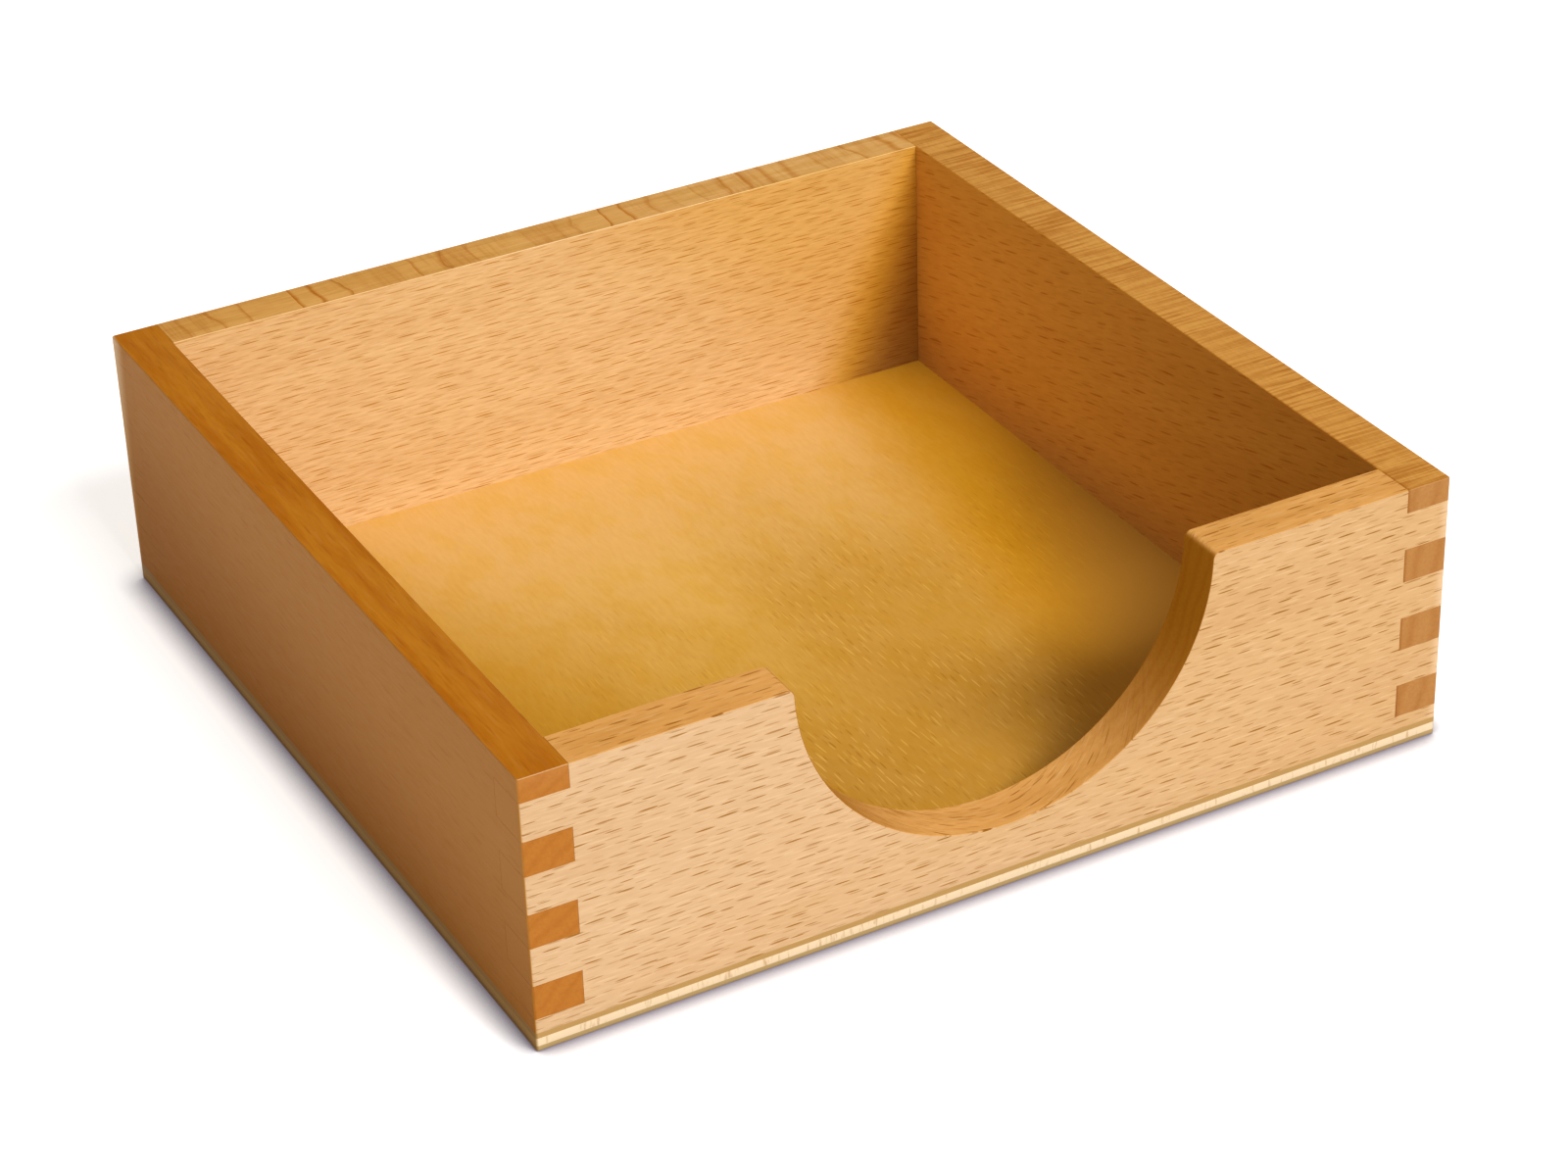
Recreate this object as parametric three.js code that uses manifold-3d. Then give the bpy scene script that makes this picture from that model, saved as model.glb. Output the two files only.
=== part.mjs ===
// Napkin box: four beech walls, finger-jointed at the corners, glued flat on a plywood base.
// Millimetres, +Z up. The underside is at z = 0 and the notched front wall faces -Y.
import * as THREE from 'three';
import { mergeVertices, toCreasedNormals } from 'three/addons/utils/BufferGeometryUtils.js';
import Module from 'manifold-3d';

const wasm = await Module();
wasm.setup();

// Walls
const outerWidth = 200;
const outerDepth = 195;
const wallHeight = 55;
const wallThickness = 10;

// Plywood base of three plies
const faceVeneer = 1.15;
const corePly = 1.7;

// Half-round notch in the front wall, where the fingers take hold of the napkins
const notchRadius = 45;
const notchWeb = 10; // wood left under the notch
const shoulderRadius = 1.5; // where the notch runs out into the rim

// Corner joints, counted from the rim down
const rimFinger = 5.1; // the first finger, on the side walls
const sideFinger = 7.4; // the other fingers of the side walls
const frontFinger = 8.2; // the fingers of the front and back walls
const glueLine = 0.05; // slack on every face of a joint

// Sanding, done once the box is glued
const cornerRadius = 0.5; // upright outer corners
const arris = 0.2; // every other long edge

// Steps of the round stretches
const notchSteps = 48;
const shoulderSteps = 5;
const cornerSteps = 4;

// Worked out from the sizes above
const baseThickness = 2 * faceVeneer + corePly;
const rim = baseThickness + wallHeight;
const sandingStock = 2 * arris; // the pieces are cut over size by this much, then sanded flush
const innerWidth = outerWidth - 2 * wallThickness;
const innerDepth = outerDepth - 2 * wallThickness;

// Solids

// A closed geometry, placed by a matrix, as a solid that can be joined and cut.
function toSolid(geometry, matrix = new THREE.Matrix4()) {
  geometry.deleteAttribute('normal');
  geometry.deleteAttribute('uv');
  const merged = mergeVertices(geometry.applyMatrix4(matrix));
  return new wasm.Manifold(new wasm.Mesh({
    numProp: 3,
    vertProperties: merged.attributes.position.array,
    triVerts: new Uint32Array(merged.index.array),
  }));
}

// A solid as a named mesh, smooth round the notch and crisp at the edges.
function toMesh(name, solid, finish) {
  const { vertProperties, triVerts } = solid.getMesh();
  const geometry = new THREE.BufferGeometry();
  geometry.setAttribute('position', new THREE.BufferAttribute(vertProperties, 3));
  geometry.setIndex(new THREE.BufferAttribute(triVerts, 1));
  const creaseAngle = THREE.MathUtils.degToRad(20);
  const mesh = new THREE.Mesh(toCreasedNormals(geometry, creaseAngle), new THREE.MeshStandardMaterial(finish));
  mesh.name = name;
  return mesh;
}

function arc(x, y, radius, from, to, steps) {
  const clockwise = to < from;
  return new THREE.EllipseCurve(x, y, radius, radius, from, to, clockwise).getPoints(steps);
}

// One outline from several runs of points, without a point that repeats the one before it.
function outline(...runs) {
  const points = runs.flat();
  return new THREE.Shape(points.filter((p, i) => i === 0 || p.distanceTo(points[i - 1]) > 1e-6));
}

function rectangle(width, depth) {
  const x = width / 2;
  const y = depth / 2;
  return outline([[-x, -y], [x, -y], [x, y], [-x, y]].map(([u, v]) => new THREE.Vector2(u, v)));
}

// A cutter for a broken edge: it grows by one arris on its way from -arris to 0, then goes straight on.
function flare(shape) {
  return new THREE.ExtrudeGeometry(shape, {
    depth: sandingStock,
    bevelThickness: arris,
    bevelSize: arris,
    bevelSegments: 1,
  });
}

// Sanding

// The outside of the finished box: round upright corners and broken edges at the rim and underneath.
function sandedBox() {
  const x = outerWidth / 2 - cornerRadius;
  const y = outerDepth / 2 - cornerRadius;
  const corners = [[x, y], [-x, y], [-x, -y], [x, -y]];
  const runs = corners.map(([u, v], i) => {
    const start = i * Math.PI / 2;
    return arc(u, v, cornerRadius, start, start + Math.PI / 2, cornerSteps);
  });
  const geometry = new THREE.ExtrudeGeometry(outline(...runs), {
    depth: rim - 2 * arris,
    bevelThickness: arris,
    bevelSize: arris,
    bevelOffset: -arris,
    bevelSegments: 1,
  });
  return toSolid(geometry.translate(0, 0, arris));
}

// The broken edge round the inside of the rim.
function rimEdge() {
  return toSolid(flare(rectangle(innerWidth, innerDepth)).translate(0, 0, rim));
}

// Walls: drawn on their inner face, along the wall and up, and thickened outwards

const front = 0;
const right = Math.PI / 2;
const back = Math.PI;
const left = -Math.PI / 2;

// Stands a drawing upright, the given distance out from the middle, facing that way.
function standing(facing, distance) {
  const upright = new THREE.Matrix4().makeBasis(
    new THREE.Vector3(1, 0, 0),
    new THREE.Vector3(0, 0, 1),
    new THREE.Vector3(0, -1, 0),
  );
  upright.setPosition(0, -distance, 0);
  return new THREE.Matrix4().makeRotationZ(facing).multiply(upright);
}

// Heights where one finger ends and the next begins, from the rim down to the base.
// A rest shorter than half the rim finger stays with the finger above it.
function fingerHeights() {
  const heights = [rim, rim - rimFinger];
  for (let i = 0; ; i += 1) {
    const next = heights.at(-1) - (i % 2 === 0 ? frontFinger : sideFinger);
    if (next - baseThickness < rimFinger / 2) break;
    heights.push(next);
  }
  return [...heights, baseThickness];
}

// One end of a wall, from the base up: it reaches right out where it has a finger,
// and only to the face of its neighbour where the neighbour has one.
function fingerEnd(outerLength, ownsRim, slack) {
  const heights = fingerHeights();
  const foot = heights.length - 1;
  const isFinger = (i) => (i % 2 === 0) === ownsRim;
  const edge = (i) => {
    if (i === 0) return rim + sandingStock;
    if (i === foot) return baseThickness;
    return heights[i] + (isFinger(i) ? -slack : slack);
  };
  const points = [];
  for (let i = foot - 1; i >= 0; i -= 1) {
    const reach = isFinger(i) ? outerLength / 2 + sandingStock : outerLength / 2 - wallThickness - glueLine;
    points.push(new THREE.Vector2(reach, edge(i + 1)), new THREE.Vector2(reach, edge(i)));
  }
  return points;
}

function wall(facing, outerLength, innerDistance, ownsRim, slack) {
  const end = fingerEnd(outerLength, ownsRim, slack);
  const mirrored = end.map((p) => new THREE.Vector2(-p.x, p.y)).reverse();
  const board = new THREE.ExtrudeGeometry(outline(end, mirrored), {
    depth: wallThickness + sandingStock,
    bevelEnabled: false,
  });
  return toSolid(board, standing(facing, innerDistance));
}

// The side walls have the slimmer fingers, so the slack of the glue comes off theirs.
const endWall = (facing) => wall(facing, outerWidth, innerDepth / 2, false, 0);
const sideWall = (facing) => wall(facing, outerDepth, innerWidth / 2, true, glueLine);

// Notch

// The half round, its two eased shoulders and the open space above them. A taller wall gives it
// straight sides, and a lower one makes it a shallower arc.
function notchShape() {
  const middle = baseThickness + notchWeb + notchRadius;
  const shoulder = rim - shoulderRadius;
  const reach = notchRadius + shoulderRadius;
  const lift = Math.max(middle - shoulder, 0);
  const x = Math.sqrt(reach ** 2 - lift ** 2);
  const turn = Math.asin(lift / reach);
  const { PI } = Math;
  return outline(
    [new THREE.Vector2(-x, rim + 2 * sandingStock)],
    arc(-x, shoulder, shoulderRadius, PI / 2, turn, shoulderSteps),
    arc(0, middle, notchRadius, PI + turn, 2 * PI - turn, notchSteps),
    arc(x, shoulder, shoulderRadius, PI - turn, PI / 2, shoulderSteps),
    [new THREE.Vector2(x, rim + 2 * sandingStock)],
  );
}

function notchedFrontWall() {
  const shape = notchShape();
  const overshoot = sandingStock;
  const through = new THREE.ExtrudeGeometry(shape, {
    depth: wallThickness + 2 * overshoot,
    bevelEnabled: false,
  });
  const outerEdge = toSolid(flare(shape), standing(front, outerDepth / 2));
  const innerEdge = toSolid(flare(shape), standing(back, -innerDepth / 2));
  return endWall(front)
    .subtract(toSolid(through, standing(front, innerDepth / 2 - overshoot)))
    .subtract(outerEdge)
    .subtract(innerEdge);
}

// Base

function ply(bottom, thickness) {
  const sheet = rectangle(outerWidth + 2 * sandingStock, outerDepth + 2 * sandingStock);
  const geometry = new THREE.ExtrudeGeometry(sheet, { depth: thickness, bevelEnabled: false });
  return toSolid(geometry.translate(0, 0, bottom));
}

// Assembly

const sanded = sandedBox();
const edge = rimEdge();
const finishedWall = (solid) => solid.intersect(sanded).subtract(edge);
const finishedPly = (bottom, thickness) => ply(bottom, thickness).intersect(sanded);

const oiled = (color) => ({ color, roughness: 0.5, metalness: 0 });
const sawn = (color) => ({ color, roughness: 0.7, metalness: 0 });

const box = new THREE.Group();
box.name = 'napkin_box';
box.add(
  toMesh('front_wall', finishedWall(notchedFrontWall()), oiled('#e9bd8c')),
  toMesh('back_wall', finishedWall(endWall(back)), oiled('#e3ac6f')),
  toMesh('left_wall', finishedWall(sideWall(left)), oiled('#bf7f3c')),
  toMesh('right_wall', finishedWall(sideWall(right)), oiled('#c08240')),
  toMesh('base_top_veneer', finishedPly(faceVeneer + corePly, faceVeneer), oiled('#cf9a3e')),
  toMesh('base_core', finishedPly(faceVeneer, corePly), sawn('#f6dcae')),
  toMesh('base_bottom_veneer', finishedPly(0, faceVeneer), oiled('#c8964c')),
);

export default box;
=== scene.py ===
from math import cos, radians, sin

import bmesh
import bpy
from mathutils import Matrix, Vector


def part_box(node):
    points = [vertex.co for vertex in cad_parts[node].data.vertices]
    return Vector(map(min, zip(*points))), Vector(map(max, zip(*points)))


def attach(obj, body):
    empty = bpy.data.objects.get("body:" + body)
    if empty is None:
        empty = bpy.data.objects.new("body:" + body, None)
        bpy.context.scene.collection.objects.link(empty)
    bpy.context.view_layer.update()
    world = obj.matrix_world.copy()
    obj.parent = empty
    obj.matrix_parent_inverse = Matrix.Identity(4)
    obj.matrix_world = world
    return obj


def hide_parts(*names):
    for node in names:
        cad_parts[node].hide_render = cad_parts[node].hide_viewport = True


# Napkin box: finger-jointed beech walls on a plywood base, oiled, on a white table
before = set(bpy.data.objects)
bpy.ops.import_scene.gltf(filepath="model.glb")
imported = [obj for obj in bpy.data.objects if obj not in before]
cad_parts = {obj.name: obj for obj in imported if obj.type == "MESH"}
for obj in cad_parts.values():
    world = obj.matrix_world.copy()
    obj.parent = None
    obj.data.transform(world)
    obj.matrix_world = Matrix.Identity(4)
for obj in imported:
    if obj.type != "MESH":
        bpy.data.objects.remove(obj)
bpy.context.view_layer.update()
millimetre = 0.001
print("frame loaded:", ", ".join(sorted(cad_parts)))


# Nodes

# Settings that many nodes share
eased = {"interpolation_type": "SMOOTHSTEP"}
multiply = {"operation": "MULTIPLY"}
multiplyAdd = {"operation": "MULTIPLY_ADD"}
subtract = {"operation": "SUBTRACT"}
divide = {"operation": "DIVIDE"}
dotProduct = {"operation": "DOT_PRODUCT"}


def linear(hexColour):
    # sRGB hex to linear RGBA
    parts = [int(hexColour[i:i + 2], 16) / 255 for i in (1, 3, 5)]
    return [p / 12.92 if p <= 0.04045 else ((p + 0.055) / 1.055) ** 2.4 for p in parts] + [1]


def setInputs(tree, node, inputs):
    # An input is a value, a socket, or a node whose first open output is taken
    for key, value in inputs.items():
        if isinstance(value, bpy.types.Node):
            value = next(s for s in value.outputs if s.enabled)
        if isinstance(value, bpy.types.NodeSocket):
            tree.links.new(value, node.inputs[key])
        else:
            node.inputs[key].default_value = value


def addNode(tree, kind, inputs, **settings):
    node = tree.nodes.new("ShaderNode" + kind)
    for key, value in settings.items():
        setattr(node, key, value)
    setInputs(tree, node, inputs)
    return node


def between(marks):
    # Nothing at the first mark, all at the second
    return {"From Min": marks[0], "From Max": marks[1]}


def startMaterial(name):
    material = bpy.data.materials.new(name)
    material.use_nodes = True
    tree = material.node_tree
    return material, tree, tree.nodes["Principled BSDF"]


def layered(tree, ground, layers):
    # Lays each colour over the ones before it, by its own amount
    for way, colour, amount in layers:
        ground = addNode(tree, "Mix", {"Factor": amount, "A": ground, "B": colour},
                         data_type="RGBA", blend_type=way)
    return ground


# Wood that any board or sheet can have

cloudShape = {"Scale": 1, "Detail": 3, "Roughness": 0.55}
grainWave = (55, 18, 18)      # mm, one wave along the grain, round the rings, out from the pith
noiseMiddle = (0.5, 0.5, 0.5)
spindle = {
    "turn": 27,               # degrees off the grain, so that they don't stand in columns
    "scatter": 0.8,           # 0 in rows, 1 by chance
    "half": (0.28, 0.5),      # least and most half-length, as shares of the full length
    "core": 0.6,              # the share that has its full depth of colour
}


def grainSpace(tree, place, cutFrom, turn):
    # Millimetres in the log: along the grain, round the rings, out from the pith
    return addNode(tree, "Mapping", {
        "Vector": place.outputs["Object"],
        "Location": [millimetre * v for v in cutFrom],
        "Rotation": [radians(v) for v in turn],
        "Scale": (millimetre,) * 3,
    }, vector_type="TEXTURE")


def clouds(tree, grain, sizes):
    # Soft noise for each name, one cloud covering this many mm each way
    made = {}
    for name, size in sizes.items():
        cell = addNode(tree, "VectorMath", {0: grain, 1: [1 / v for v in size]}, **multiply)
        made[name] = addNode(tree, "TexNoise", {"Vector": cell, **cloudShape})
    return made


def strayingGrain(tree, grain, swing):
    # Grain that waves, by about this many mm each way
    wave = clouds(tree, grain, {"wave": grainWave})["wave"]
    wave = addNode(tree, "VectorMath", {0: wave.outputs["Color"], 1: noiseMiddle}, **subtract)
    return addNode(tree, "VectorMath", {0: wave, 1: swing, 2: grain}, **multiplyAdd)


def flecks(tree, grain, size, spacing, faintest):
    # Spindles strewn along the grain, up to this long and wide in mm and this far apart each way,
    # each with its own size and its own depth of colour, from the faintest to 1
    turned = (0, 0, radians(spindle["turn"]))
    cell = addNode(tree, "Mapping", {
        "Vector": grain, "Rotation": turned, "Scale": [1 / v for v in spacing] + [0],
    })
    seed = addNode(tree, "TexVoronoi", {
        "Vector": cell, "Scale": 1, "Randomness": spindle["scatter"],
    }, voronoi_dimensions="2D")
    offset = addNode(tree, "VectorMath", {0: cell, 1: seed.outputs["Position"]}, **subtract)
    offset = addNode(tree, "Mapping", {
        "Vector": offset, "Rotation": turned, "Scale": [s / v for s, v in zip(size, spacing)] + [1],
    }, vector_type="TEXTURE")
    away = addNode(tree, "VectorMath", {0: offset}, operation="LENGTH")
    luck = addNode(tree, "SeparateColor", {"Color": seed.outputs["Color"]})
    least, most = spindle["half"]
    half = addNode(tree, "MapRange", {"Value": luck.outputs["Red"], "To Min": least, "To Max": most})
    depth = addNode(tree, "MapRange", {"Value": luck.outputs["Green"], "To Min": faintest})
    share = addNode(tree, "Math", {0: away, 1: half}, **divide)
    return addNode(tree, "MapRange", {
        "Value": share, **between((1, spindle["core"])), "To Max": depth,
    }, **eased)


def squareness(tree, place):
    # How squarely the surface looks along each axis, either way
    facing = addNode(tree, "VectorMath", {0: place.outputs["Normal"]}, operation="ABSOLUTE")
    return addNode(tree, "SeparateXYZ", {"Vector": facing}).outputs


# Stains and painted light: zones where the oil or the wood has another tone, or where shade, shadow or
# light is painted into the colour

wholeFace = {"towards": (0, 0, 0), "start": -0.3, "full": -0.05, "hold": 1}   # mm


def wallFace(wall, axis, side):
    # A wall's face on the low (0) or high (1) side of an axis: its normal, and how far out it is in mm
    normal = Vector((0, 0, 0))
    normal[axis] = (-1, 1)[side]
    return normal, normal[axis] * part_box(wall)[side][axis] / millimetre


def stainAndPaintedLightLayers(tree, place, stainsAndPaintedLight):
    # Each is stronger the further it lies "towards" one way, between two marks in mm. One that is
    # "on" a face fades away behind it, the faster the larger its "hold".
    layers = []
    for stainOrPaintedLight in stainsAndPaintedLight:
        normal, out = stainOrPaintedLight.get("on", (Vector((0, 0, 0)), 0))
        hold = stainOrPaintedLight.get("hold", 0)
        marks = [hold * out + stainOrPaintedLight["start"], hold * out + stainOrPaintedLight["full"]]
        way = (Vector(stainOrPaintedLight["towards"]) + hold * normal) / millimetre
        reach = addNode(tree, "VectorMath", {0: place.outputs["Object"], 1: way}, **dotProduct)
        reach = addNode(tree, "MapRange", {
            "Value": reach, **between(marks), "To Max": stainOrPaintedLight.get("depth", 1),
        }, **eased)
        layers.append((stainOrPaintedLight["way"], linear(stainOrPaintedLight["tone"]), reach))
    return layers


# Beech

beech = {
    "clouds": {                    # mm along the grain, round the rings, out from the pith
        "figure": (150, 22, 22),   # slow change from one part of the log to the next
        "streak": (34, 3.5, 3.5),
        "fibre": (5, 0.6, 0.6),    # real fibres are finer than a pixel, so these are drawn coarser
        "bend": (16, 25, 25),      # bends the scales on an edge and bunches its lines
        "cross": (0.75, 16, 16),   # fine rays across a quartered edge
    },
    "sides": {"end": (0.35, 0.95), "face": (0.6, 0.9), "edge": (0.6, 0.9)},   # marks of squareness
    "deep": (0.167, 0.833), "deepEdge": (0.35, 0.65), "denseFibre": (0.62, 0.34),   # marks on the clouds
    "bunch": (0.42, 0.6), "line": (0.45, 0.62),
    "ringSwing": 9,                # mm
    "lateFrom": 0.35,              # the share of a ring's half that stays pale
    # Size and spacing of each sort of ray, times those of the board
    "rays": {"bold": (1, 1), "faint": (0.8, 0.65), "pale": (1.2, 0.8)},
    "faintestRay": 0.545,
    "scaleTone": 0.25,             # how much one scale differs from the next
    "rimless": 0.3,                # the share of scales without a rim
    "rimWide": 0.2,                # the share of a scale that is rim
    "dense": "#E0D2BA", "lateWood": "#D4A83C", "pale": "#F6D9AE",
    "gloss": (0.3, 0.7), "roughness": (0.56, 0.44), "ior": 1.5,
    "relief": 0.03, "reliefStrength": 0.5,   # mm
}


def boardSides(tree, place, board):
    # How squarely the surface looks out of the board's ends, faces and edges, and which of them it is
    axes = squareness(tree, place)
    along, across = ("Y", "X") if board["heading"] else ("X", "Y")
    square = {"end": axes[along], "face": axes[across], "edge": axes["Z"]}
    isSide = {}
    for side, marks in beech["sides"].items():
        isSide[side] = addNode(tree, "MapRange", {"Value": square[side], **between(marks)}, **eased)
    return square, isSide


def growthRings(tree, grain, figure, isEnd, board):
    # Bands of late wood, waved by the figure and clearer on the ends
    turn = radians(board["ringTurn"])
    growth = addNode(tree, "VectorMath", {0: grain, 1: (0, sin(turn), cos(turn))}, **dotProduct)
    growth = addNode(tree, "Math", {0: figure, 1: beech["ringSwing"], 2: growth}, **multiplyAdd)
    year = addNode(tree, "Math", {0: growth, 1: board["ringWidth"] / 2}, **divide)
    season = addNode(tree, "Math", {0: year, 1: 1}, operation="PINGPONG")
    depth = addNode(tree, "MapRange", {
        "Value": isEnd, "To Min": board["ringDepth"], "To Max": board["endRing"],
    })
    return addNode(tree, "MapRange", {
        "Value": season, "From Min": beech["lateFrom"], "To Max": depth,
    }, **eased)


def rayFlecks(tree, grain, isSide, board):
    # Rays cut lengthwise: dark spindles, bold and faint, and pale ones. None shows on the ends.
    made = {}
    for name, (size, gap) in beech["rays"].items():
        fleck = [size * v for v in board["fleck"]]
        spacing = [gap * v for v in board["spacing"]]
        made[name] = flecks(tree, grain, fleck, spacing, beech["faintestRay"])
    showing = addNode(tree, "MapRange", {
        "Value": isSide["edge"], "To Min": board["rayDepth"], "To Max": board["edgeRay"],
    })
    showing = addNode(tree, "MapRange", {"Value": isSide["end"], "To Min": showing, "To Max": 0})
    faint = addNode(tree, "Math", {0: made["faint"], 1: board["faintFleck"]}, **multiply)
    dark = addNode(tree, "Math", {0: made["bold"], 1: faint}, operation="MAXIMUM")
    pale = addNode(tree, "Math", {0: made["pale"], 1: board["paleRay"]}, **multiply)
    return [addNode(tree, "Math", {0: ray, 1: showing}, **multiply) for ray in (dark, pale)]


def edgeScales(tree, along, bend, isEdge, board):
    # Rays on a quartered edge: scales across the grain, each with its own depth, some with a dark rim
    at = addNode(tree, "Math", {0: bend, 1: board["scaleBend"], 2: along}, **multiplyAdd)
    at = addNode(tree, "Math", {0: at, 1: board["scaleLong"]}, **divide)
    scale = addNode(tree, "TexVoronoi", {"W": at, "Scale": 1}, voronoi_dimensions="1D")
    rim = addNode(tree, "TexVoronoi", {"W": at, "Scale": 1},
                  voronoi_dimensions="1D", feature="DISTANCE_TO_EDGE")
    luck = addNode(tree, "SeparateColor", {"Color": scale.outputs["Color"]})
    rimDepth = addNode(tree, "MapRange", {"Value": luck.outputs["Green"], "From Min": beech["rimless"]})
    rim = addNode(tree, "MapRange", {
        "Value": rim, **between((beech["rimWide"], 0)), "To Max": rimDepth,
    }, **eased)
    scales = addNode(tree, "Math", {
        0: luck.outputs["Red"], 1: beech["scaleTone"], 2: rim,
    }, **multiplyAdd)
    depth = addNode(tree, "Math", {0: isEdge, 1: board["scaleDepth"]}, **multiply)
    return addNode(tree, "Math", {0: scales, 1: depth}, **multiply)


def edgeLines(tree, cloud, isEdge, board):
    # The finer rays there, as lines in bunches
    bunch = addNode(tree, "MapRange", {
        "Value": cloud["bend"], **between(beech["bunch"]), "To Max": board["lineDepth"],
    }, **eased)
    depth = addNode(tree, "Math", {0: isEdge, 1: bunch}, **multiply)
    return addNode(tree, "MapRange", {
        "Value": cloud["cross"], **between(beech["line"]), "To Max": depth,
    }, **eased)


def paintedArrisHighlight(tree, square, board):
    # Painted highlight: pale along the arrises of the board and across its ends. The product of two ways
    # of looking is 1/2 on an arris, so it is doubled.
    along = addNode(tree, "Math", {0: square["face"], 1: 2 * board["arrisHighlight"]}, **multiply)
    arrisHighlight = addNode(tree, "Math", {0: square["end"], 1: 2 * board["endArrisHighlight"], 2: along}, **multiplyAdd)
    return addNode(tree, "Math", {0: square["edge"], 1: arrisHighlight}, **multiply)


def oiledBeech(board):
    # Planed beech under clear satin oil: an even warm ground with soft growth bands and short dark
    # ray flecks along the grain. Sawn ends drink the oil and turn orange brown.
    material, tree, surface = startMaterial(board["finish"])
    place = addNode(tree, "TexCoord", {})
    square, isSide = boardSides(tree, place, board)
    turn = (90 + board["lean"], -board["climb"], board["heading"])
    grain = grainSpace(tree, place, board["cutFrom"], turn)
    grain = strayingGrain(tree, grain, (0, board["stray"], board["stray"]))
    along = addNode(tree, "SeparateXYZ", {"Vector": grain}).outputs["X"]
    cloud = clouds(tree, grain, beech["clouds"])

    lateWood = growthRings(tree, grain, cloud["figure"], isSide["end"], board)
    ray, paleRay = rayFlecks(tree, grain, isSide, board)
    scales = edgeScales(tree, along, cloud["bend"], isSide["edge"], board)
    lines = edgeLines(tree, cloud, isSide["edge"], board)
    # painted highlight along the arrises
    arris = paintedArrisHighlight(tree, square, board)
    fibre = addNode(tree, "MapRange", {
        "Value": cloud["fibre"], **between(beech["denseFibre"]), "To Max": board["fibre"],
    })

    # Colour, from the ground up
    slope = addNode(tree, "Math", {
        0: along, 1: board["deepen"] * millimetre, 2: cloud["figure"],
    }, **multiplyAdd)
    deep = addNode(tree, "MapRange", {"Value": slope, **between(beech["deep"])}, **eased)
    edgeCloud = cloud[board["edgeCloud"]]
    deepEdge = addNode(tree, "MapRange", {"Value": edgeCloud, **between(beech["deepEdge"])}, **eased)
    face = layered(tree, linear(board["face"]), [("MIX", linear(board["faceDeep"]), deep)])
    tone = layered(tree, linear(board["edge"]), [
        ("MIX", linear(board["edgeDeep"]), deepEdge),
        ("MIX", linear(board["end"]), isSide["end"]),
        ("MIX", face, isSide["face"]),
        ("MULTIPLY", linear(beech["dense"]), fibre),
        ("MULTIPLY", linear(beech["lateWood"]), lateWood),
        ("MULTIPLY", linear(beech["lateWood"]), scales),
        ("MULTIPLY", linear(beech["lateWood"]), lines),
        ("MIX", linear(beech["pale"]), paleRay),
        ("MULTIPLY", linear(board["ray"]), ray),
        # painted highlight along the arrises, over the rest
        ("MIX", linear(beech["pale"]), arris),
    ] + stainAndPaintedLightLayers(tree, place, board["stainsAndPaintedLight"]))

    # Satin oil, a little duller on the fibres
    dull, glossy = beech["roughness"]
    gloss = addNode(tree, "MapRange", {
        "Value": cloud["fibre"], **between(beech["gloss"]), "To Min": dull, "To Max": glossy,
    })
    bump = addNode(tree, "Bump", {
        "Height": cloud["fibre"],
        "Strength": beech["reliefStrength"], "Distance": beech["relief"] * millimetre,
    })
    setInputs(tree, surface, {
        "Base Color": tone, "Roughness": gloss, "Normal": bump,
        "IOR": beech["ior"], "Specular IOR Level": board["shine"],
    })
    return material


# Pieces

meshing = {"weld": 0.001, "flat": 0.3, "sharp": 60}   # mm, degrees, degrees


def dressedPiece(nodeName, pieceName, material):
    # The solid comes as loose triangles: weld them, join what is flat and shade the rest smooth
    work = bmesh.new()
    work.from_mesh(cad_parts[nodeName].data)
    bmesh.ops.remove_doubles(work, verts=work.verts, dist=meshing["weld"] * millimetre)
    flat = radians(meshing["flat"])
    bmesh.ops.dissolve_limit(work, angle_limit=flat, verts=work.verts, edges=work.edges)
    mesh = bpy.data.meshes.new(pieceName)
    work.to_mesh(mesh)
    work.free()
    if "custom_normal" in mesh.attributes:
        mesh.attributes.remove(mesh.attributes["custom_normal"])
    mesh.shade_smooth()
    mesh.set_sharp_from_angle(angle=radians(meshing["sharp"]))
    mesh.materials.append(material)
    piece = bpy.data.objects.new(pieceName, mesh)
    bpy.context.scene.collection.objects.link(piece)
    weighting = piece.modifiers.new("sandedShading", "WEIGHTED_NORMAL")
    weighting.keep_sharp = True
    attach(piece, "root")
    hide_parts(nodeName)
    print("piece:", pieceName, len(mesh.polygons), "faces")


# Walls. The grain runs along "heading", in degrees from +X, and climbs by "climb", and the rings lean
# from the face by "lean". Places and sizes are in mm, and depths go from 0 to 1. The face deepens by
# "deepen" in each metre along the grain.

leftOutside = wallFace("left_wall", 0, 0)
rightInside = wallFace("right_wall", 0, 0)
frontOutside = wallFace("front_wall", 1, 0)
frontInside = wallFace("front_wall", 1, 1)
backInside = wallFace("back_wall", 1, 0)
backRim = wallFace("back_wall", 2, 1)

# What the boards share, unless one says otherwise
anyBoard = {
    # the two arris amounts set a painted highlight along the faces and across the ends
    "climb": 0, "stray": 1.2, "deepen": 0, "edgeCloud": "streak", "arrisHighlight": 0, "endArrisHighlight": 0,
    "faintFleck": 0.5, "rayDepth": 1, "edgeRay": 0,
    "scaleLong": 9, "scaleBend": 4, "scaleDepth": 0, "lineDepth": 0,
    "ringTurn": 0, "ringWidth": 3.2, "shine": 0.02,
}

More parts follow.
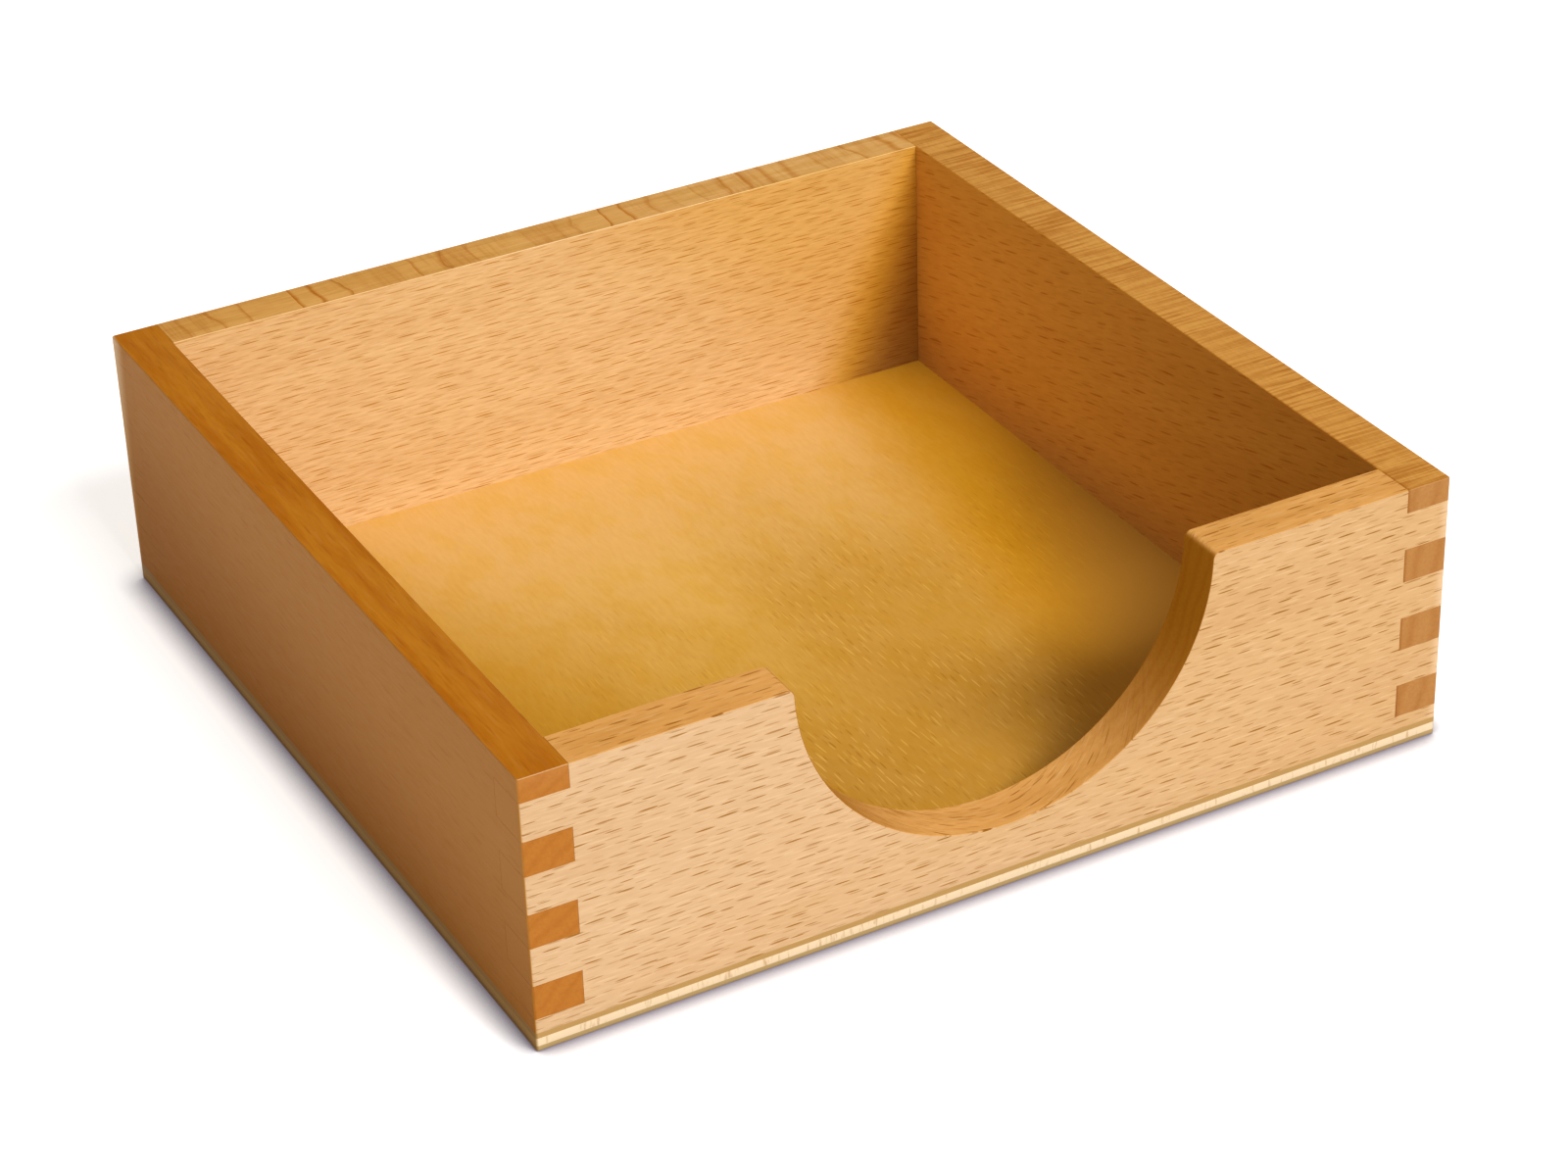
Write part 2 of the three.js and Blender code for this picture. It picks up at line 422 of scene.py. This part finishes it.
# Three boards meet in the left side, which takes one tone there, with painted shade and a painted
# highlight
leftToneAndPaintedLight = [
    {"way": "MIX", "tone": "#95612C", "depth": 0.85, "on": leftOutside, **wholeFace},   # darkest side, which stands in shade: partly its own deeper tone, partly painted shade
    {"way": "MIX", "tone": "#D8BC98", "depth": 0.7,   # painted highlight down the back corner
     "on": leftOutside, "hold": 10, "towards": (0, 1, 0.08), "start": 95.5, "full": 102.2},
    {"way": "MULTIPLY", "tone": "#DAC779",   # painted shade: darker towards the base and the back
     "on": leftOutside, "hold": 50, "towards": (0, 0.1, -1), "start": -55, "full": 0},
]
# Ends of the other two boards, which hardly show there
endStain = {"way": "MIX", "tone": "#D8A04A", "depth": 0.85, "on": leftOutside, **wholeFace}

frontBoard = {
    **anyBoard, "finish": "oiledBeechFront", "heading": 0, "lean": 40, "cutFrom": (0, 0, 0),
    "face": "#C2A07A", "faceDeep": "#BE986A", "deepen": 3.67, "fibre": 0.25,
    "edge": "#DAA058", "edgeDeep": "#D0964E", "end": "#9E6414",
    "fleck": (5.5, 0.32), "spacing": (8.4, 1.6), "ray": "#B4922A", "edgeRay": 1, "paleRay": 0.12,
    "ringTurn": 40, "ringDepth": 0.08, "endRing": 0.2,
    "stainsAndPaintedLight": [
        endStain, *leftToneAndPaintedLight,
        {"way": "MULTIPLY", "tone": "#FFF2C8", "on": frontInside, **wholeFace},   # painted shade: warmer and deeper on the inner face
        {"way": "MIX", "tone": "#DDBE9C", "depth": 0.4,   # paler down the front right corner
         "on": frontOutside, "hold": 10, "towards": (1, 0, 0), "start": 97.5, "full": 99.8},
    ],
}
backBoard = {
    **anyBoard, "finish": "oiledBeechBack", "heading": 0, "lean": 4, "cutFrom": (300, 40, 20),
    "face": "#E8C189", "faceDeep": "#E2B06A", "deepen": 2.5, "fibre": 0.4,
    "edge": "#DEAE6A", "edgeDeep": "#D4A45C", "end": "#A86C32", "arrisHighlight": 0.8,
    "fleck": (6.4, 0.3), "spacing": (9.6, 1.3), "faintFleck": 0.55, "ray": "#CDA410", "paleRay": 0.3,
    "scaleLong": 6, "scaleBend": 12, "scaleDepth": 1, "lineDepth": 0.27,
    "ringDepth": 0.1, "endRing": 0.07,
    "stainsAndPaintedLight": [
        endStain, *leftToneAndPaintedLight,
        {"way": "MULTIPLY", "tone": "#F8EBBE",   # more orange high up on the right
         "on": backInside, "hold": 200, "towards": (1, 0, 1.2), "start": 52, "full": 115},
        {"way": "MULTIPLY", "tone": "#F6E689",   # painted shadow cast by the right wall into the right inner corner
         "on": backInside, "hold": 200, "towards": (1, 0, -0.4), "start": 56, "full": 70},
        # the darkest part of the same painted shadow
        {"way": "MULTIPLY", "tone": "#BCADCE",
         "on": backInside, "hold": 200, "towards": (1, 0, -0.4), "start": 63, "full": 81},
        {"way": "MULTIPLY", "tone": "#F5EBD4",   # rim deeper to the left
         "on": backRim, "hold": 200, "towards": (-1, 0, 0), "start": -60, "full": 40},
    ],
}
leftBoard = {
    **anyBoard, "finish": "oiledBeechLeft", "heading": 90, "lean": 50, "cutFrom": (70, 250, 10),
    "face": "#D8A04A", "faceDeep": "#D0943E", "fibre": 0.3,
    "edge": "#B57118", "edgeDeep": "#A9620E", "end": "#A46728", "arrisHighlight": 0.05, "endArrisHighlight": 0.3,
    "fleck": (6.5, 0.5), "spacing": (12, 2), "ray": "#C8A848",
    "rayDepth": 0.7, "edgeRay": 0.3, "paleRay": 0.05,
    "ringDepth": 0.04, "endRing": 0.16,
    "stainsAndPaintedLight": leftToneAndPaintedLight,
}
rightBoard = {
    **anyBoard, "finish": "oiledBeechRight", "heading": 90, "climb": -13, "lean": 8,
    "cutFrom": (150, 90, 30), "stray": 3,
    "face": "#DCB07E", "faceDeep": "#D4A36E", "fibre": 0.3,
    "edge": "#CF9648", "edgeDeep": "#BD8236", "edgeCloud": "cross", "end": "#A2703A", "endArrisHighlight": 0.1,
    "fleck": (7, 0.6), "spacing": (13, 2.4), "ray": "#CEA838", "rayDepth": 0.7, "paleRay": 0,
    "scaleLong": 5, "scaleBend": 5, "scaleDepth": 0.13, "lineDepth": 0.37,
    "ringWidth": 5.5, "ringDepth": 0.06, "endRing": 0.26, "shine": 0.06,
    "stainsAndPaintedLight": [
        {"way": "MULTIPLY", "tone": "#FFEC92", "on": rightInside, **wholeFace},   # painted shade: deeper and warmer on the inner face
        {"way": "MULTIPLY", "tone": "#E6D8C8",   # painted shade, most of all towards the front
         "on": rightInside, "hold": 200, "towards": (0, -1, 0), "start": -60, "full": 80},
        {"way": "MULTIPLY", "tone": "#EDEAFF",   # and painted shade just above the base
         "on": rightInside, "hold": 200, "towards": (0, 0, -1), "start": -22, "full": -6},
    ],
}
dressedPiece("front_wall", "frontBoard", oiledBeech(frontBoard))
dressedPiece("back_wall", "backBoard", oiledBeech(backBoard))
dressedPiece("left_wall", "leftBoard", oiledBeech(leftBoard))
dressedPiece("right_wall", "rightBoard", oiledBeech(rightBoard))


# Plywood base

plywood = {
    "heading": 90, "stray": 5,       # degrees from +X, mm
    "clouds": {                      # mm
        "blotch": (90, 45, 30),
        "bunch": (45, 30, 30),
        "mottle": (10, 6, 6),
        "fibre": (4, 0.9, 4),        # drawn coarser than real fibres, as on the walls
    },
    "face": "#DDB068", "faceDeep": "#C08F46",
    "deepen": (-8, -2),              # in each metre, to the front and to the right: partly the sheet's own tone, partly painted shade
    "gold": "#FAF2A0", "mottle": (0.4, 0.65), "mottleDepth": 0.4,
    "dense": "#E8D8B8", "denseFibre": (0.62, 0.34), "fibreDepth": 0.2,
    "pale": "#F2C880", "dark": "#C6A830", "bunch": (0.22, 0.6), "faintestStroke": 0.23,
    "strokes": {                     # mm
        "pale": {"size": (6, 0.5), "spacing": (8, 1.3), "depth": 0.5},
        "dark": {"size": (4, 0.5), "spacing": (6.5, 1.5), "depth": 0.62},
    },
    "edge": "#A5824C", "edgeUnder": "#AB905F", "edgeSide": "#7C5A28",
    "sawn": (0.8, 0.3), "under": (2.5, 1.5),   # squareness to Z, and mm above the table
    "core": "#D9C19E", "coreTick": "#A87C4C", "coreSide": "#8C6A38",
    "tickSize": (0.7, 0.7, 3.5),     # mm, the sawn ends of the core fibres
    "tick": (0.52, 0.75), "tickDepth": 0.6,
    "roughness": 0.5, "coreRoughness": 0.65, "shine": 0.06,
    "stainsAndPaintedLight": [
        {"way": "MULTIPLY", "tone": "#FDF9CA",   # yellower to the front
         "towards": (0, -1, 0), "start": -70, "full": 10},
        {"way": "MULTIPLY", "tone": "#E8DC98",   # deeper to the front left
         "towards": (-1, -0.3, 0), "start": 20, "full": 60},
        {"way": "MULTIPLY", "tone": "#FBEC7C",   # painted light bounced off the right wall, at the edge of its shadow: golden to the right
         "towards": (1, -0.15, 0), "start": 42, "full": 66},
        {"way": "MIX", "tone": "#B48030",        # and painted shade: brown in the front right corner, where the walls shade the floor
         "towards": (1, -0.5, 0), "start": 55, "full": 95},
    ],
}


def sawnEdges(tree, place, height):
    # Duller than the face, greyer on the ply underneath and darker on the left and right
    axes = squareness(tree, place)
    isSawn = addNode(tree, "MapRange", {"Value": axes["Z"], **between(plywood["sawn"])}, **eased)
    isUnder = addNode(tree, "MapRange", {"Value": height, **between(plywood["under"])})
    sawn = layered(tree, linear(plywood["edge"]), [
        ("MIX", linear(plywood["edgeUnder"]), isUnder),
        ("MIX", linear(plywood["edgeSide"]), axes["X"]),
    ])
    return [("MIX", sawn, isSawn)]


def rotaryVeneer():
    # Peeled face ply, oiled: golden, softly mottled, with bunches of short pale and dark fibres
    material, tree, surface = startMaterial("oiledFaceVeneer")
    place = addNode(tree, "TexCoord", {})
    grain = grainSpace(tree, place, (0, 0, 0), (0, 0, plywood["heading"]))
    grain = strayingGrain(tree, grain, (0, plywood["stray"], 0))
    at = addNode(tree, "SeparateXYZ", {"Vector": grain}).outputs
    cloud = clouds(tree, grain, plywood["clouds"])
    slope = cloud["blotch"]
    for axis, rate in zip("XY", plywood["deepen"]):
        slope = addNode(tree, "Math", {0: at[axis], 1: rate * millimetre, 2: slope}, **multiplyAdd)
    deep = addNode(tree, "MapRange", {"Value": slope}, **eased)
    mottle = addNode(tree, "MapRange", {
        "Value": cloud["mottle"], **between(plywood["mottle"]), "To Max": plywood["mottleDepth"],
    }, **eased)
    fibre = addNode(tree, "MapRange", {
        "Value": cloud["fibre"], **between(plywood["denseFibre"]), "To Max": plywood["fibreDepth"],
    })

    # Longer fibres show in bunches, more where the sheet is deep in colour
    bunch = addNode(tree, "MapRange", {"Value": cloud["bunch"], **between(plywood["bunch"])}, **eased)
    showing = addNode(tree, "Math", {0: bunch, 1: deep}, **multiply)
    strokes = {}
    for name, look in plywood["strokes"].items():
        stroke = flecks(tree, grain, look["size"], look["spacing"], plywood["faintestStroke"])
        stroke = addNode(tree, "Math", {0: stroke, 1: look["depth"]}, **multiply)
        strokes[name] = addNode(tree, "Math", {0: stroke, 1: showing}, **multiply)

    tone = layered(tree, linear(plywood["face"]), [
        ("MIX", linear(plywood["faceDeep"]), deep),
        ("MULTIPLY", linear(plywood["gold"]), mottle),
        ("MULTIPLY", linear(plywood["dense"]), fibre),
        ("MIX", linear(plywood["pale"]), strokes["pale"]),
        ("MULTIPLY", linear(plywood["dark"]), strokes["dark"]),
    ] + stainAndPaintedLightLayers(tree, place, plywood["stainsAndPaintedLight"]) + sawnEdges(tree, place, at["Z"]))
    setInputs(tree, surface, {
        "Base Color": tone, "Roughness": plywood["roughness"], "Specular IOR Level": plywood["shine"],
    })
    return material


def sawnCore():
    # Sawn edge of the pale core ply: cream, ticked by the cut ends of its fibres
    material, tree, surface = startMaterial("sawnCorePly")
    place = addNode(tree, "TexCoord", {})
    grain = grainSpace(tree, place, (0, 0, 0), (0, 0, 0))
    tick = clouds(tree, grain, {"tick": plywood["tickSize"]})["tick"]
    tick = addNode(tree, "MapRange", {
        "Value": tick, **between(plywood["tick"]), "To Max": plywood["tickDepth"],
    }, **eased)
    tone = layered(tree, linear(plywood["core"]), [
        ("MIX", linear(plywood["coreTick"]), tick),
        ("MIX", linear(plywood["coreSide"]), squareness(tree, place)["X"]),
    ])
    setInputs(tree, surface, {
        "Base Color": tone,
        "Roughness": plywood["coreRoughness"], "Specular IOR Level": plywood["shine"],
    })
    return material


veneer = rotaryVeneer()
dressedPiece("base_top_veneer", "topVeneer", veneer)
dressedPiece("base_core", "corePly", sawnCore())
dressedPiece("base_bottom_veneer", "bottomVeneer", veneer)


# Studio

studio = {
    "tableTone": "#F2F2F2", "tableRoughness": 0.8, "glowTone": "#FFFFFF", "glow": 0.55,
    "tableSize": 8, "tableDrop": 0.1,   # m, and mm below the box
    "contact": 7,                       # mm, how far the painted contact shadow reaches
    "contactShadowTone": "#7A7480", "contactMarks": (0.5, 1), "contactSamples": 16,
    "ambient": 0.33, "ambientTone": "#FFF6EA",
    "key": {"power": 160, "away": 4, "wide": 2.2, "tall": 1, "around": 16, "up": 46},   # W, m, degrees
    "fill": {"power": 10, "away": 3, "wide": 2, "tall": 2, "around": -75, "up": 40},
}
photoCamera = {
    "lens": 91.18, "place": (-0.3267, -0.6220, 0.4408), "turn": (58.79, 1.61, -29.09),   # mm, m, degrees
}


def whiteAcrylic():
    # Lit a little from below, so shadows on it stay pale; a painted contact shadow, by ambient
    # occlusion, darkens its colour and glow where the box stands
    material, tree, surface = startMaterial("whiteAcrylicTable")
    near = addNode(tree, "AmbientOcclusion", {"Distance": studio["contact"] * millimetre},
                   samples=studio["contactSamples"])
    near = addNode(tree, "MapRange", {"Value": near.outputs["AO"], **between(studio["contactMarks"])})
    contact = linear(studio["contactShadowTone"])
    setInputs(tree, surface, {
        "Base Color": layered(tree, contact, [("MIX", linear(studio["tableTone"]), near)]),
        "Emission Color": layered(tree, contact, [("MIX", linear(studio["glowTone"]), near)]),
        "Emission Strength": studio["glow"],
        "Roughness": studio["tableRoughness"],
    })
    return material


def whiteTable():
    half = studio["tableSize"] / 2
    corners = [(-half, -half, 0), (half, -half, 0), (half, half, 0), (-half, half, 0)]
    mesh = bpy.data.meshes.new("whiteTable")
    mesh.from_pydata(corners, [], [(0, 1, 2, 3)])
    mesh.materials.append(whiteAcrylic())
    table = bpy.data.objects.new("whiteTable", mesh)
    table.location.z = -studio["tableDrop"] * millimetre
    bpy.context.scene.collection.objects.link(table)


def softbox(name, setting):
    around, up = radians(setting["around"]), radians(setting["up"])
    direction = Vector((sin(around) * cos(up), -cos(around) * cos(up), sin(up)))
    lamp = bpy.data.lights.new(name, "AREA")
    lamp.energy = setting["power"]
    lamp.shape = "RECTANGLE"
    lamp.size = setting["wide"]
    lamp.size_y = setting["tall"]
    box = bpy.data.objects.new(name, lamp)
    box.location = direction * setting["away"]
    box.rotation_euler = direction.to_track_quat("Z", "Y").to_euler()
    bpy.context.scene.collection.objects.link(box)


def whiteRoom():
    world = bpy.data.worlds.new("whiteRoom")
    world.use_nodes = True
    setInputs(world.node_tree, world.node_tree.nodes["Background"], {
        "Color": linear(studio["ambientTone"]), "Strength": studio["ambient"],
    })
    bpy.context.scene.world = world


def photoView():
    lens = bpy.data.cameras.new("photoCamera")
    lens.lens = photoCamera["lens"]
    camera = bpy.data.objects.new("photoCamera", lens)
    camera.location = photoCamera["place"]
    camera.rotation_euler = [radians(v) for v in photoCamera["turn"]]
    bpy.context.scene.collection.objects.link(camera)
    bpy.context.scene.camera = camera


whiteTable()
whiteRoom()
softbox("keySoftbox", studio["key"])
softbox("fillSoftbox", studio["fill"])
photoView()
bpy.context.scene.view_settings.view_transform = "Standard"
print("table, lights and camera in place")
